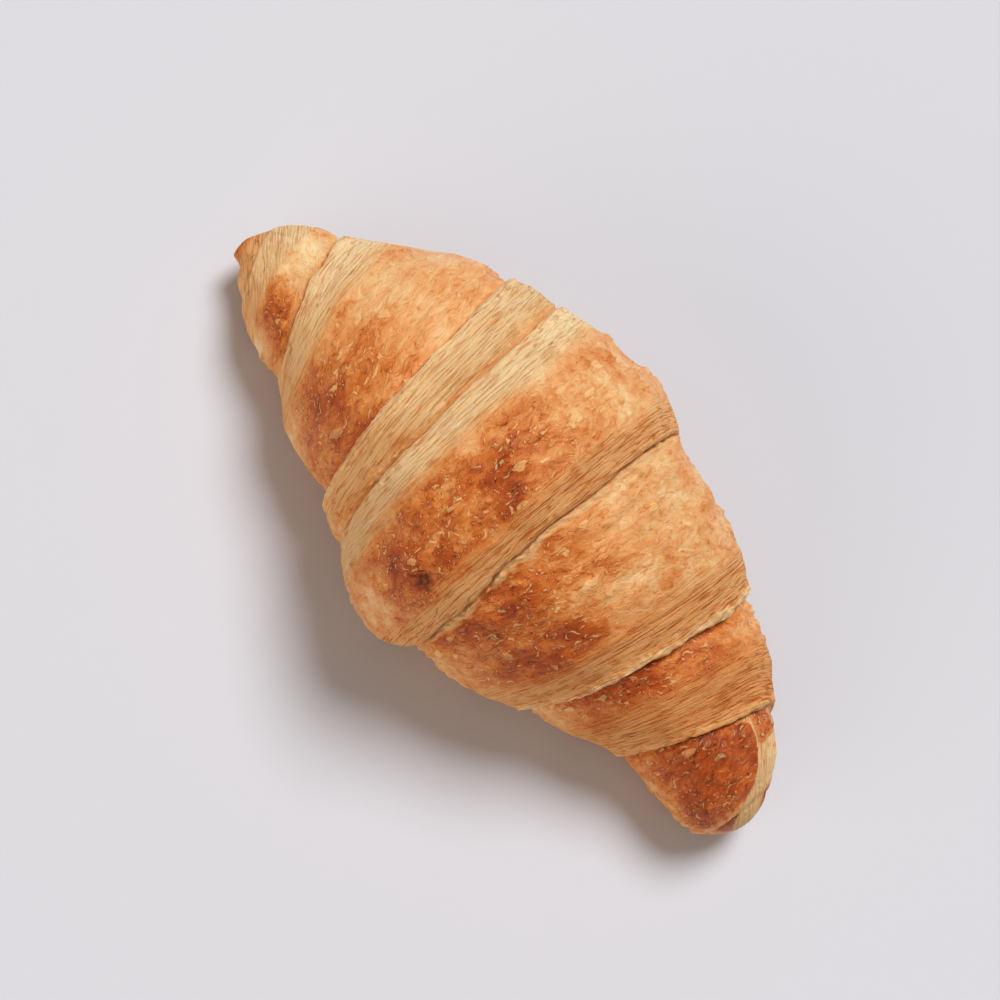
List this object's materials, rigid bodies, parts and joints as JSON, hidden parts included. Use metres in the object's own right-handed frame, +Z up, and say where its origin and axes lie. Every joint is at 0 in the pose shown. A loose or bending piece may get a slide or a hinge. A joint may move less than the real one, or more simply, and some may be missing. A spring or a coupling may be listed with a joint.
{
  "type": "croissant",
  "caption": "Rolled butter croissant, nearly straight, with stepped spiral wraps from a broad belly to two blunt tips and a flat baked base.",
  "frame": {"origin": "on the surface it rests on, under the middle of its box", "axes": "+Z up, X along the roll from tip to tip, -Y the fuller front side"},
  "size_m": [0.15, 0.0722, 0.0513],
  "materials": {
    "crust": "satin"
  },
  "bodies": {
    "root": {"croissant": "crust"}
  },
  "joints": []
}
